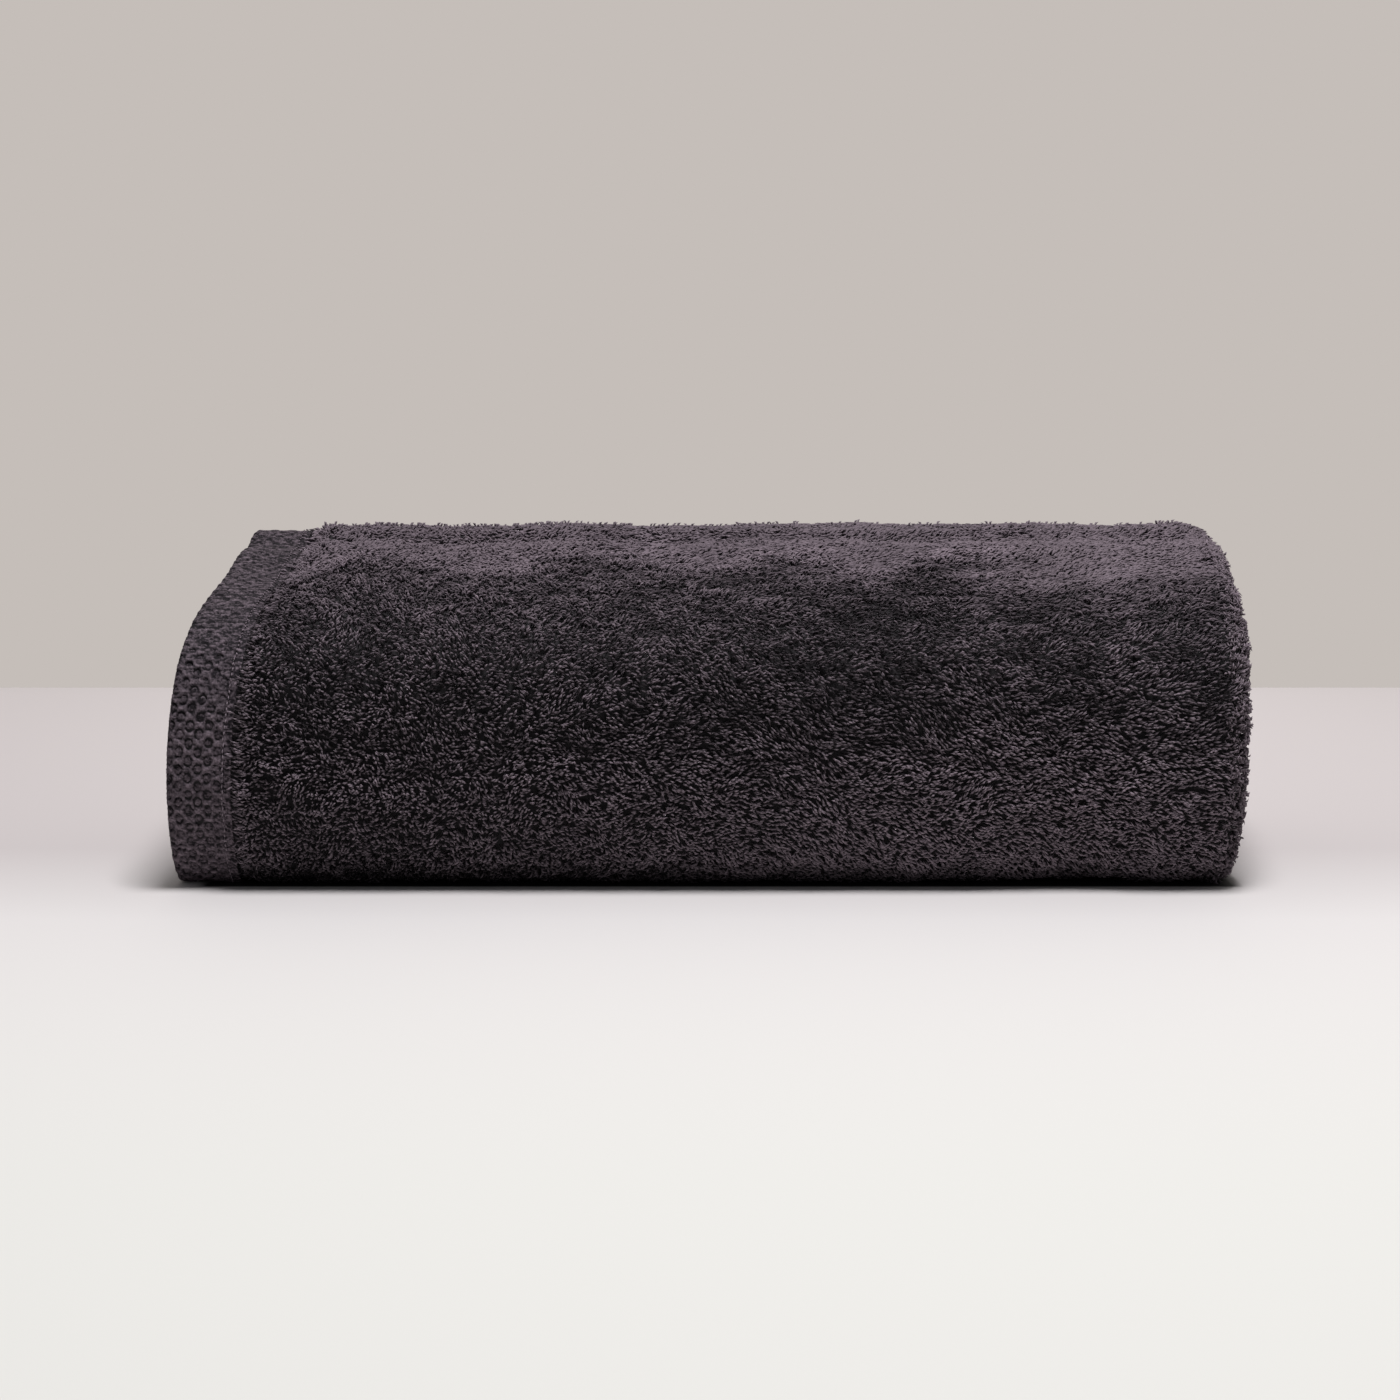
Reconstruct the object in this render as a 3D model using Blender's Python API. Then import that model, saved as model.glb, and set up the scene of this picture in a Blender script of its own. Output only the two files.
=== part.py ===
"""Rolled bath towel.

One terry towel of 700 x 1400 mm is folded in four along its length, which makes a stack of four layers
350 mm wide, and the stack is wound up from one long side. The part is one solid of that wound form: a
slumped, flat-bottomed roll along X with its front towards -Y, the turns of the stack standing out as a
spiral ridge on both ends, and the free edge of the stack coming down the back to the floor.

A place in the roll has two numbers: the turn, counted from the free edge inwards, and the depth, from 0
on the outer side of the stack to 1 on its inner side, where the next turn begins.
"""

import bmesh
import bpy
import numpy as np

MM = 0.001

# The towel and how it is wound
TOWEL_LENGTH = 1400 * MM
LAYERS = 4
ROLL_LENGTH = TOWEL_LENGTH / LAYERS
TURNS = 3.25
CORE_TURNS = 0.35            # the last part of a turn, taken up by the solid core
CORE_Y = 4 * MM
CORE_Z = 54 * MM
CORE_HALF_WIDTH = 17 * MM    # the roll is wound round a flat first fold, not round a point
SETTLE_TURNS = 0.3           # over this length a turn settles into the smoother form of the inner ones
SMOOTH_STEPS = 3             # steps on either side over which the inner turns are evened out

# Border, ends and edges
BAND_WIDTH = 20 * MM         # the woven band along the hem, at the roll's left end
BAND_STEP = 3 * MM           # how far the pile stands above the band
BAND_SLOPE = 2.5 * MM        # length of the slope from the band up to the pile
BAND_SINK_HEIGHT = 12 * MM   # below this height the band sags to the floor
HEM_ROUND = 1 * MM
HEM_GROOVE = 7 * MM          # depth of the groove between two turns at the hem end
FOLD_GROOVE = 9 * MM         # the same at the folded end, which is a fat round ridge
CORE_DIMPLE = 3 * MM         # how deep the middle of the core lies in both ends
TUCK_STEPS = 7               # steps over which the outer turn slips under the free edge

# Mesh steps
AROUND = 54                  # for one turn
ACROSS = 6                   # through the stack
ALONG = 20                   # from the band to the folded end
FINE = 40                    # points between two rows of the outline, from which even steps are read

# Outer surface of the pile, one row for each place on the way round from the free edge, up the back,
# over the top, down the front and back under the roll. The floor presses flat what lies below it.
OUTLINE_COLUMNS = ("place", "y_mm", "z_mm")
OUTLINE = (
    ("free edge", 66, 0),
    ("heel of the free edge", 72, 7),
    ("low back", 77, 29),
    ("back", 78, 55),
    ("back shoulder low", 75, 78),
    ("back shoulder", 64, 98),
    ("back shoulder high", 50, 109.5),
    ("crest", 38, 114.3),
    ("crest front", 28, 113),
    ("valley", 20, 109.9),
    ("ridge", 11, 109.3),
    ("top", -14, 103),
    ("top front", -36, 97),
    ("front shoulder high", -56, 89),
    ("front shoulder", -68, 80),
    ("front shoulder low", -74, 67),
    ("nose", -76, 50),
    ("low front", -74, 28),
    ("front foot", -67, 10),
    ("floor front", -55, 0.5),
    ("floor", -44, -1),
    ("floor middle", -8, -1),
    ("floor back", 24, -1),
    ("under the free edge", 37, 2),
    ("tuck", 46, 9),
)

# How far the two ends of the stack slipped along the roll as it was wound, from the free edge inwards
SLIP_COLUMNS = ("place", "turn", "hem_end_mm", "folded_end_mm")
SLIP = (
    ("free edge", 0.00, 8.0, 10.0),
    ("back shoulder", 0.24, 8.5, 11.5),
    ("ridge", 0.385, 7.5, 10.0),
    ("top", 0.445, 6.5, 7.2),
    ("top front", 0.50, 4.0, 4.8),
    ("front shoulder high", 0.55, 2.2, 2.2),
    ("nose", 0.65, -2.2, 0.0),
    ("front foot", 0.745, -3.2, 1.0),
    ("underside", 0.85, -2.5, 1.0),
    ("second turn", 1.10, 0.5, 1.5),
    ("second turn front", 1.60, 4.0, 4.0),
    ("third turn", 2.10, 1.0, 1.0),
    ("core", 3.25, 3.0, 3.0),
)

# Soft swells and hollows of the outer turn, by the angle from the core: 0 at the back, 90 at the top
SWELL_COLUMNS = ("place", "x_mm", "angle_deg", "reach_x_mm", "reach_deg", "height_mm")
SWELLS = (
    ("hollow beside the band", -142, 108, 9, 26, -1.4),
    ("pucker beside the band", -122, 112, 9, 24, 1.6),
    ("hollow after the pucker", -100, 110, 10, 22, -1.3),
    ("dip in the top", -45, 95, 50, 14, -1.0),
    ("full middle of the front", 10, 188, 90, 22, 1.2),
    ("slack at the folded end", 118, 196, 16, 34, -1.6),
    ("swell at the folded end", 146, 168, 14, 40, 1.3),
)

# Relief of the two ends, through the stack from its outer side to its inner side
HEM_DEPTHS = np.array([0.0, 0.16, 0.36, 0.52, 0.66, 0.86, 1.0])
HEM_RELIEF = np.array([0.0, 0.4, 0.2, 3.0, 1.0, 1.6, 0.0]) * MM
FOLD_SWEEP = np.linspace(0, np.pi, ACROSS + 1)
FOLD_DEPTHS = (1 - np.cos(FOLD_SWEEP)) / 2
FOLD_RELIEF = FOLD_GROOVE * (1 - np.sin(FOLD_SWEEP))

TERRY_COLOUR = (0.045, 0.036, 0.042, 1.0)
TERRY_ROUGHNESS = 0.95
MERGE_DISTANCE = 0.01 * MM


def column(table, columns, name):
    """One named column of a table, as an array."""
    return np.array([row[columns.index(name)] for row in table], float)


def smooth_curve(at, rows_x, rows_y):
    """Cubic Hermite curve through the rows, each slope taken from the row's neighbours."""
    slopes = np.gradient(rows_y, rows_x)
    row = np.clip(np.searchsorted(rows_x, at, side="right") - 1, 0, len(rows_x) - 2)
    span = rows_x[row + 1] - rows_x[row]
    t = np.clip((at - rows_x[row]) / span, 0, 1)
    start = rows_y[row] * (1 + 2 * t) * (1 - t) ** 2 + slopes[row] * span * t * (1 - t) ** 2
    end = rows_y[row + 1] * t * t * (3 - 2 * t) - slopes[row + 1] * span * t * t * (1 - t)
    return start + end


def smooth_step(t):
    """0 below 0, 1 above 1, and a soft rise between."""
    t = np.clip(t, 0, 1)
    return t * t * (3 - 2 * t)


def walked_length(points):
    """Length walked along a line of points, at each point."""
    steps = np.linalg.norm(np.diff(points, axis=0), axis=1)
    return np.concatenate([[0], np.cumsum(steps)])


def outer_turn():
    """Y and Z of the outer surface in even steps, from the free edge once round to the tuck below it."""
    rows = np.stack([column(OUTLINE, OUTLINE_COLUMNS, name) for name in OUTLINE_COLUMNS[1:]], axis=1) * MM
    place = walked_length(rows)
    fine = np.linspace(0, place[-1], FINE * len(rows))
    curve = np.stack([smooth_curve(fine, place, rows[:, 0]), smooth_curve(fine, place, rows[:, 1])], axis=1)
    curve[:, 1] = np.maximum(curve[:, 1], 0)
    walked = walked_length(curve)
    even = np.linspace(0, walked[-1], AROUND + 1)
    return np.stack([np.interp(even, walked, curve[:, 0]), np.interp(even, walked, curve[:, 1])], axis=1)


def angle_about_core(points):
    """Angle of each point about the core, in degrees from the back, running on past 180 at the front."""
    angle = np.degrees(np.arctan2(points[:, 1] - CORE_Z, points[:, 0] - CORE_Y))
    return np.where(angle < -60, angle + 360, angle)


def core_points(points):
    """The place on the flat first fold that each point of the outer surface is wound round."""
    share = np.cos(np.radians(angle_about_core(points)))
    return np.stack([CORE_Y + CORE_HALF_WIDTH * share, np.full(len(share), CORE_Z)], axis=1)


def winding(last):
    """Y and Z of the stack's outer side at every step from the free edge to the core, then the core itself.

    The first turn is the outer surface. Each later step is the place one or more turns further out, drawn
    in towards the first fold by the share of the turns that are left. The inner turns are evened out, and
    the second one starts in the tuck below the free edge.
    """
    first = outer_turn()
    base = core_points(first[:-1])
    turn = np.arange(AROUND) / AROUND
    unwound = base + (first[:-1] - base) / (1 - turn / TURNS)[:, None]
    rolls = [np.roll(unwound, step, axis=0) for step in range(-SMOOTH_STEPS, SMOOTH_STEPS + 1)]
    evened = np.mean(rolls, axis=0)

    index = np.arange(AROUND, last)
    place = index % AROUND
    settle = smooth_step((index / AROUND - 1) / SETTLE_TURNS)[:, None]
    target = unwound[place] * (1 - settle) + evened[place] * settle
    drawn = base[place] + (target - base[place]) * (1 - index / AROUND / TURNS)[:, None]
    drawn += (first[-1] - drawn[0]) * (1 - settle)
    core = np.tile([[CORE_Y, CORE_Z]], (AROUND + 1, 1))
    return np.concatenate([first[:-1], drawn, core])


def outward(points):
    """Direction from the first fold out to each point."""
    away = points - core_points(points)
    return away / np.linalg.norm(away, axis=1)[:, None]


def swell_height(x, angle):
    """Sum of the swells, each a bell along the roll and a bell around it."""
    total = np.zeros(np.broadcast(x, angle).shape)
    rows = [column(SWELLS, SWELL_COLUMNS, name) for name in SWELL_COLUMNS[1:]]
    for x_mm, angle_deg, reach_x, reach_deg, height in zip(*rows):
        bell = ((x / MM - x_mm) / reach_x) ** 2 + ((angle - angle_deg) / reach_deg) ** 2
        total = total + height * MM * np.exp(-bell / 2)
    return total


def slipped(turn, end):
    """How far one end of the stack has slipped along X at each turn."""
    return smooth_curve(turn, column(SLIP, SLIP_COLUMNS, "turn"), column(SLIP, SLIP_COLUMNS, end) * MM)


def stations(start, end):
    """Places along the roll: the band, the slope up to the pile, then even steps to the folded end."""
    pile_start = start + BAND_WIDTH + BAND_SLOPE
    even = pile_start[..., None] + (end - pile_start)[..., None] * np.linspace(0, 1, ALONG + 1)
    return np.concatenate([start[..., None], start[..., None] + BAND_WIDTH, even], axis=-1)


def end_face(section, x_end, edge_relief, depths, relief, side):
    """Strip that runs inwards with the winding, lifted along X by the relief through the stack."""
    here = np.arange(len(section) - AROUND)
    inner = here + AROUND
    lift = np.tile(relief, (len(here), 1))
    lift[:, 0] = edge_relief[here]
    lift[:, -1] = edge_relief[inner]
    x = x_end[here, None] * (1 - depths) + x_end[inner, None] * depths + side * lift
    x[-1] = x[-1, -1]
    across = section[here, None] * (1 - depths[:, None]) + section[inner, None] * depths[:, None]
    return np.concatenate([x[..., None], across], axis=-1)


def wound_surfaces():
    """The four surfaces that close the roll, each a grid of points: outside, free edge and two ends."""
    last = round((TURNS - CORE_TURNS) * AROUND)
    section = winding(last)
    index = np.arange(len(section))
    left = -ROLL_LENGTH / 2 + slipped(np.minimum(index, last) / AROUND, "hem_end_mm")
    right = ROLL_LENGTH / 2 + slipped(np.minimum(index, last) / AROUND, "folded_end_mm")
    tucked = smooth_step((index - (AROUND - TUCK_STEPS)) / TUCK_STEPS)
    left_relief = HEM_ROUND + (HEM_GROOVE - HEM_ROUND) * tucked
    right_relief = np.full(len(index), FOLD_GROOVE)
    left_relief[last:] = CORE_DIMPLE
    right_relief[last:] = CORE_DIMPLE

    # outside of the outer turn, swollen where the pile is full and stepped down at the band
    outer = section[:AROUND + 1]
    free = 1 - tucked[:AROUND + 1]
    x_out = stations((left + left_relief)[:AROUND + 1], (right - right_relief)[:AROUND + 1])
    rise = swell_height(x_out, angle_about_core(outer)[:, None]) * free[:, None]
    sink = BAND_STEP * np.clip(outer[:, 1] / BAND_SINK_HEIGHT, 0, 1) * free
    rise[:, :2] -= sink[:, None]
    skin = outer[:, None] + outward(outer)[:, None] * rise[..., None]
    skin[..., 1] = np.where(outer[:, None, 1] > 0, np.maximum(skin[..., 1], 0), 0)
    outside = np.concatenate([x_out[..., None], skin], axis=-1)

    hem_section = np.concatenate([skin[:, 0], section[AROUND + 1:]])
    fold_section = np.concatenate([skin[:, -1], section[AROUND + 1:]])
    hem_end = end_face(hem_section, left, left_relief, HEM_DEPTHS, HEM_RELIEF, 1)
    fold_end = end_face(fold_section, right, right_relief, FOLD_DEPTHS, FOLD_RELIEF, -1)

    # free edge of the stack, between the outside and the turn below it
    x_edge = stations(hem_end[0, :, 0], fold_end[0, :, 0])
    share = (x_edge - x_edge[:, :1]) / (x_edge[:, -1:] - x_edge[:, :1])
    depths = HEM_DEPTHS[:, None] * (1 - share) + FOLD_DEPTHS[:, None] * share
    start, end = skin[0], skin[-1]
    free_edge = np.concatenate([x_edge[..., None], start + (end - start) * depths[..., None]], axis=-1)
    return outside, free_edge, hem_end, fold_end


def add_grid(mesh, points):
    """Adds one grid of points to the mesh as quads."""
    rows, columns = points.shape[:2]
    verts = [mesh.verts.new(point) for point in points.reshape(-1, 3)]
    for row in range(rows - 1):
        for place in range(columns - 1):
            corner = row * columns + place
            mesh.faces.new([verts[corner], verts[corner + 1], verts[corner + columns + 1], verts[corner + columns]])


def terry_material():
    """Dark aubergine cotton terry."""
    material = bpy.data.materials.new("cotton_terry")
    material.use_nodes = True
    shader = material.node_tree.nodes["Principled BSDF"]
    shader.inputs["Base Color"].default_value = TERRY_COLOUR
    shader.inputs["Roughness"].default_value = TERRY_ROUGHNESS
    shader.inputs["Metallic"].default_value = 0.0
    return material


def make_towel_roll():
    """The wound towel as one closed solid, standing on the floor over the origin."""
    surfaces = wound_surfaces()
    corners = np.concatenate([points.reshape(-1, 3) for points in surfaces])
    middle = (corners.min(axis=0) + corners.max(axis=0)) / 2
    middle[2] = 0
    mesh = bmesh.new()
    for points in surfaces:
        add_grid(mesh, points - middle)
    bmesh.ops.remove_doubles(mesh, verts=mesh.verts, dist=MERGE_DISTANCE)
    bmesh.ops.dissolve_degenerate(mesh, edges=mesh.edges, dist=MERGE_DISTANCE)
    bmesh.ops.triangulate(mesh, faces=mesh.faces)
    bmesh.ops.recalc_face_normals(mesh, faces=mesh.faces)
    data = bpy.data.meshes.new("towel_roll")
    mesh.to_mesh(data)
    mesh.free()
    data.shade_smooth()
    data.materials.append(terry_material())
    towel = bpy.data.objects.new("towel_roll", data)
    bpy.context.scene.collection.objects.link(towel)


for old in list(bpy.data.objects):
    bpy.data.objects.remove(old)
make_towel_roll()
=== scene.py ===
"""Looks of the rolled bath towel: the folded and wound cloth, its pile, its woven band, finishes and light.

The cloth is the real towel of 700 x 1400 mm: folded in four along its length it makes a stack of four
layers, and the stack is wound up from one long side. A place in the roll has two numbers: the turn,
counted from the free edge inwards, and the depth through the stack, from its outer to its inner side.
"""

import bpy
import numpy as np
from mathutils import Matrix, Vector


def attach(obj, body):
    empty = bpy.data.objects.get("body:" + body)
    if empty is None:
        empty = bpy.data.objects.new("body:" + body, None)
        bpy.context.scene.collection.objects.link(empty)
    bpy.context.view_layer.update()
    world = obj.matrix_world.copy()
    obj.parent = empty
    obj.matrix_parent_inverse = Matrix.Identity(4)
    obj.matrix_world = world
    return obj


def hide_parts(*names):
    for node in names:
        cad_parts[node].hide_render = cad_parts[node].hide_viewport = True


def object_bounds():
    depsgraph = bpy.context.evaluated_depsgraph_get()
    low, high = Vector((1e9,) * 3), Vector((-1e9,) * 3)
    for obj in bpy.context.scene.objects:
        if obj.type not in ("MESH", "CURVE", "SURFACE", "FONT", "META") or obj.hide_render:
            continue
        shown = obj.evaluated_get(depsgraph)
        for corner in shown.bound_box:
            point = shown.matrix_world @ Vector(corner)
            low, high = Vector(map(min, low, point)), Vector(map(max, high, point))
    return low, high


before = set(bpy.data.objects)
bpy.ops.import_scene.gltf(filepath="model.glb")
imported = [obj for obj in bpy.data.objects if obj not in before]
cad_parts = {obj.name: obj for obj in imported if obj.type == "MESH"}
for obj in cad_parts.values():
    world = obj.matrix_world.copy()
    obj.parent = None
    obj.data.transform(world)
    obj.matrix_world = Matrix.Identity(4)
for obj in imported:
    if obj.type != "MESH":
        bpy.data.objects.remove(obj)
cad_low, cad_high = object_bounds()

MM = 0.001

# The towel and how it is wound, as the solid has them
TOWEL_LENGTH = 1400 * MM
LAYERS = 4
ROLL_LENGTH = TOWEL_LENGTH / LAYERS
TURNS = 3.25
WOUND_TURNS = 3.1            # the rest is the core
CORE = np.array([4.0, 54.0]) * MM
CORE_HALF_WIDTH = 17 * MM
CORE_SLOT = 0.015            # size of the innermost turn, as a share of the roll
LOWEST_ANGLE = -60           # degrees about the core; what lies below runs on past 180
SETTLE_TURNS = 0.3           # stretch in which the second turn settles inside the outer one
EVEN_TURNS = 3 / 54          # reach on either side over which the inner turns are evened out

# Mesh steps of the winding
AROUND = 432                 # steps of the section for one turn
FINE = 60                    # points between two rows of the outline
CLOTH_STEP = 6               # steps of the section between two rows of the cloth's mesh

# Cloth, pile and band
CLOTH_THICKNESS = 3.4 * MM   # with the pile that is pressed flat inside the roll
PILE_HEIGHT = 3.5 * MM       # from the ground weave to the tips
FLAT_PILE_HEIGHT = 1.2 * MM  # the same where it is pressed on, under the roll and inside it
FLOOR_REACH = 10 * MM        # height over which the pile under the roll frees itself
BAND_WIDTH = 20 * MM
BAND_STEP = 3 * MM           # how far the band lies below the tips of the pile
BAND_SINK_HEIGHT = 12 * MM   # height above the floor over which that step grows
FOLD_GROOVE = 9 * MM         # length of the rounded fold at the folded end
HEM_ROUND = 1 * MM           # rounding of the solid's hem edge
TUCK_TURNS = 7 / 54          # stretch of the outer turn that slips under the free edge

# Outer surface of the pile, from the free edge up the back, over the top and down the front
OUTLINE_COLUMNS = ("place", "y_mm", "z_mm")
OUTLINE = (
    ("free edge", 66, 0),
    ("heel of the free edge", 72, 7),
    ("low back", 77, 29),
    ("back", 78, 55),
    ("back shoulder low", 75, 78),
    ("back shoulder", 64, 98),
    ("back shoulder high", 50, 109.5),
    ("crest", 38, 114.3),
    ("crest front", 28, 113),
    ("valley", 20, 109.9),
    ("ridge", 11, 109.3),
    ("top", -14, 103),
    ("top front", -36, 97),
    ("front shoulder high", -56, 89),
    ("front shoulder", -68, 80),
    ("front shoulder low", -74, 67),
    ("nose", -76, 50),
    ("low front", -74, 28),
    ("front foot", -67, 10),
    ("floor front", -55, 0.5),
    ("floor", -44, -1),
    ("floor middle", -8, -1),
    ("floor back", 24, -1),
    ("under the free edge", 37, 2),
    ("tuck", 46, 9),
)

# How far the two ends of the stack slipped along the roll as it was wound
SLIP_COLUMNS = ("place", "turn", "hem_end_mm", "folded_end_mm")
SLIP = (
    ("free edge", 0.00, 8.0, 10.0),
    ("back shoulder", 0.24, 8.5, 11.5),
    ("ridge", 0.385, 7.5, 10.0),
    ("top", 0.445, 6.5, 7.2),
    ("top front", 0.50, 4.0, 4.8),
    ("front shoulder high", 0.55, 2.2, 2.2),
    ("nose", 0.65, -2.2, 0.0),
    ("front foot", 0.745, -3.2, 1.0),
    ("underside", 0.85, -2.5, 1.0),
    ("second turn", 1.10, 0.5, 1.5),
    ("second turn front", 1.60, 4.0, 4.0),
    ("third turn", 2.10, 1.0, 1.0),
    ("core", 3.25, 3.0, 3.0),
)

# Soft swells and hollows of the outer turn, by the angle from the core: 0 at the back, 90 at the top
SWELL_COLUMNS = ("place", "x_mm", "angle_deg", "reach_x_mm", "reach_deg", "height_mm")
SWELLS = (
    ("hollow beside the band", -142, 108, 9, 26, -1.4),
    ("pucker beside the band", -122, 112, 9, 24, 1.6),
    ("hollow after the pucker", -100, 110, 10, 22, -1.3),
    ("dip in the top", -45, 95, 50, 14, -1.0),
    ("full middle of the front", 10, 188, 90, 22, 1.2),
    ("slack at the folded end", 118, 196, 16, 34, -1.6),
    ("swell at the folded end", 146, 168, 14, 40, 1.3),
)

# Painted contact shadow on the floor, nearly black, where the roll stands
CONTACT_SHADOW_HALF_LENGTH = 174 * MM
CONTACT_SHADOW_FRONT = -64 * MM
CONTACT_SHADOW_BACK = 62 * MM
CONTACT_SHADOW_SOFT = 4 * MM          # reach over which it fades out, at the ends and at the back
CONTACT_SHADOW_SOFT_FRONT = 2 * MM

# Floor, light and surround. Each tone has its place: on the floor as a share of the way from FADE_BACK to
# FADE_FRONT, in the surround as the Y of the direction looked in.
FLOOR_CORNERS = ((-1.6, -2.4, 0), (1.6, -2.4, 0), (1.6, 0.43, 0), (-1.6, 0.43, 0))
FADE_BACK = 0.4
FADE_FRONT = -0.35
# painted light and shade on the floor: lighter at the back, darker beside the roll, lighter again in front of
# it
FLOOR_TONES_PAINTED_LIGHT = ((0.0, "#d3ccca"), (0.533, "#bab4b3"), (0.68, "#cdcac8"), (1.0, "#cbcbc6"))
SURROUND_TONES = ((0.0, "#6d6f72"), (0.6, "#c5beb9"))
LIGHT_PLACE = (0.1, -0.3, 1.26)
LIGHT_AIM = (0, 0, 0.05)
LIGHT_SIZE = 0.36
LIGHT_POWER = 20.5
LIGHT_COLOUR = "#fdfcff"

# Camera, worked out from the photograph
CAMERA_PLACE = (-0.0063, -0.827, 0.1695)
CAMERA_PITCH_DEG = 7.98
CAMERA_LENS = 60.6
CAMERA_SENSOR = 36.0


def column(table, columns, name):
    """One named column of a table, as an array."""
    return np.array([row[columns.index(name)] for row in table], float)


def smooth_curve(at, rows_x, rows_y):
    """Cubic Hermite curve through the rows, each slope taken from the row's neighbours."""
    slopes = np.gradient(rows_y, rows_x)
    row = np.clip(np.searchsorted(rows_x, at, side="right") - 1, 0, len(rows_x) - 2)
    span = rows_x[row + 1] - rows_x[row]
    t = np.clip((at - rows_x[row]) / span, 0, 1)
    start = rows_y[row] * (1 + 2 * t) * (1 - t) ** 2 + slopes[row] * span * t * (1 - t) ** 2
    end = rows_y[row + 1] * t * t * (3 - 2 * t) - slopes[row + 1] * span * t * t * (1 - t)
    return start + end


def smooth_step(t):
    """0 below 0, 1 above 1, and a soft rise between."""
    t = np.clip(t, 0, 1)
    return t * t * (3 - 2 * t)


def risen(value, zone):
    """0 before a zone's start, 1 past its reach, and a soft rise between. A negative reach turns it round."""
    start, reach = zone
    return smooth_step((value - start) / reach)


def bell(value, reach):
    """1 at zero, falling off on both sides as exp(-(value / reach)^2)."""
    return np.exp(-(value / reach) ** 2)


def unit(vectors):
    """Vectors scaled to length one along their last axis."""
    return vectors / np.maximum(np.linalg.norm(vectors, axis=-1, keepdims=True), 1e-12)


def walked_length(points):
    """Length walked along a line of points, at each point."""
    steps = np.linalg.norm(np.diff(points, axis=0), axis=1)
    return np.concatenate([[0], np.cumsum(steps)])


NOISE_CELLS = 256            # cells of the noise in each direction before it repeats


def soft_noise(u, v, cell, seed):
    """Value noise from -1 to 1: random numbers on a square lattice, joined by a soft step both ways."""
    table = np.random.default_rng(seed).uniform(-1, 1, (NOISE_CELLS, NOISE_CELLS))
    column_at, row_at = np.floor(u / cell).astype(int), np.floor(v / cell).astype(int)
    across, up = smooth_step(u / cell - column_at), smooth_step(v / cell - row_at)

    def corner(right, above):
        return table[(column_at + right) % NOISE_CELLS, (row_at + above) % NOISE_CELLS]

    low = corner(0, 0) * (1 - across) + corner(1, 0) * across
    high = corner(0, 1) * (1 - across) + corner(1, 1) * across
    return low * (1 - up) + high * up


def outer_turn():
    """Y and Z of the outer surface in even steps, from the free edge once round to the tuck below it."""
    rows = np.stack([column(OUTLINE, OUTLINE_COLUMNS, name) for name in OUTLINE_COLUMNS[1:]], axis=1) * MM
    place = walked_length(rows)
    fine = np.linspace(0, place[-1], FINE * len(rows))
    curve = np.stack([smooth_curve(fine, place, rows[:, 0]), smooth_curve(fine, place, rows[:, 1])], axis=1)
    curve[:, 1] = np.maximum(curve[:, 1], 0)
    walked = walked_length(curve)
    even = np.linspace(0, walked[-1], AROUND + 1)
    return np.stack([np.interp(even, walked, curve[:, 0]), np.interp(even, walked, curve[:, 1])], axis=1)


def angle_about_core(points):
    """Angle of each point about the core, in degrees from the back, running on past 180 at the front."""
    angle = np.degrees(np.arctan2(points[..., 1] - CORE[1], points[..., 0] - CORE[0]))
    return np.where(angle < LOWEST_ANGLE, angle + 360, angle)


def core_points(points):
    """The place on the flat first fold that each point of the outer surface is wound round."""
    share = np.cos(np.radians(angle_about_core(points)))
    return np.stack([CORE[0] + CORE_HALF_WIDTH * share, np.full(share.shape, CORE[1])], axis=-1)


def winding():
    """Y and Z of the stack's outer side at every step from the free edge to the core.

    The first turn is the outer surface. Each later step is the place one or more turns further out, drawn
    in towards the first fold by the share of the turns that are left, and evened out. A narrow slot stays
    open in the middle.
    """
    first = outer_turn()
    last = round((WOUND_TURNS + 1) * AROUND) + 2
    base = core_points(first[:-1])
    turn = np.arange(AROUND) / AROUND
    unwound = base + (first[:-1] - base) / (1 - turn / TURNS)[:, None]
    reach = round(EVEN_TURNS * AROUND)
    evened = np.mean([np.roll(unwound, step, axis=0) for step in range(-reach, reach + 1)], axis=0)
    index = np.arange(AROUND, last)
    place = index % AROUND
    settle = smooth_step((index / AROUND - 1) / SETTLE_TURNS)[:, None]
    target = unwound[place] * (1 - settle) + evened[place] * settle
    drawn = base[place] + (target - base[place]) * np.maximum(1 - index / AROUND / TURNS, CORE_SLOT)[:, None]
    drawn += (first[-1] - drawn[0]) * (1 - settle)
    return np.concatenate([first[:-1], drawn])


SECTION = winding()
TURN_LENGTH = walked_length(SECTION[:AROUND + 1])[-1]


def section_at(turn):
    """Y and Z of the stack's outer side at any turn."""
    place = np.clip(np.asarray(turn) * AROUND, 0, len(SECTION) - 1.001)
    low = place.astype(int)
    share = (place - low)[..., None]
    return SECTION[low] * (1 - share) + SECTION[low + 1] * share


def slipped(turn, end):
    """How far one end of the stack has slipped along X at each turn."""
    return smooth_curve(turn, column(SLIP, SLIP_COLUMNS, "turn"), column(SLIP, SLIP_COLUMNS, end) * MM)


def hem_end(turn):
    """X of the roll's left end at each turn."""
    return -ROLL_LENGTH / 2 + slipped(turn, "hem_end_mm")


def folded_end(turn):
    """X of the roll's right end at each turn."""
    return ROLL_LENGTH / 2 + slipped(turn, "folded_end_mm")


def swell_height(x, angle):
    """Sum of the swells, each a bell along the roll and a bell around it."""
    total = np.zeros(np.broadcast(x, angle).shape)
    rows = [column(SWELLS, SWELL_COLUMNS, name) for name in SWELL_COLUMNS[1:]]
    for x_mm, angle_deg, reach_x, reach_deg, height in zip(*rows):
        away = ((x / MM - x_mm) / reach_x) ** 2 + ((angle - angle_deg) / reach_deg) ** 2
        total = total + height * MM * np.exp(-away / 2)
    return total


def still_outside(turn):
    """1 where the outer turn shows, falling to 0 where it slips under the free edge."""
    return 1 - smooth_step((turn - 1 + TUCK_TURNS) / TUCK_TURNS)


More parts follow.
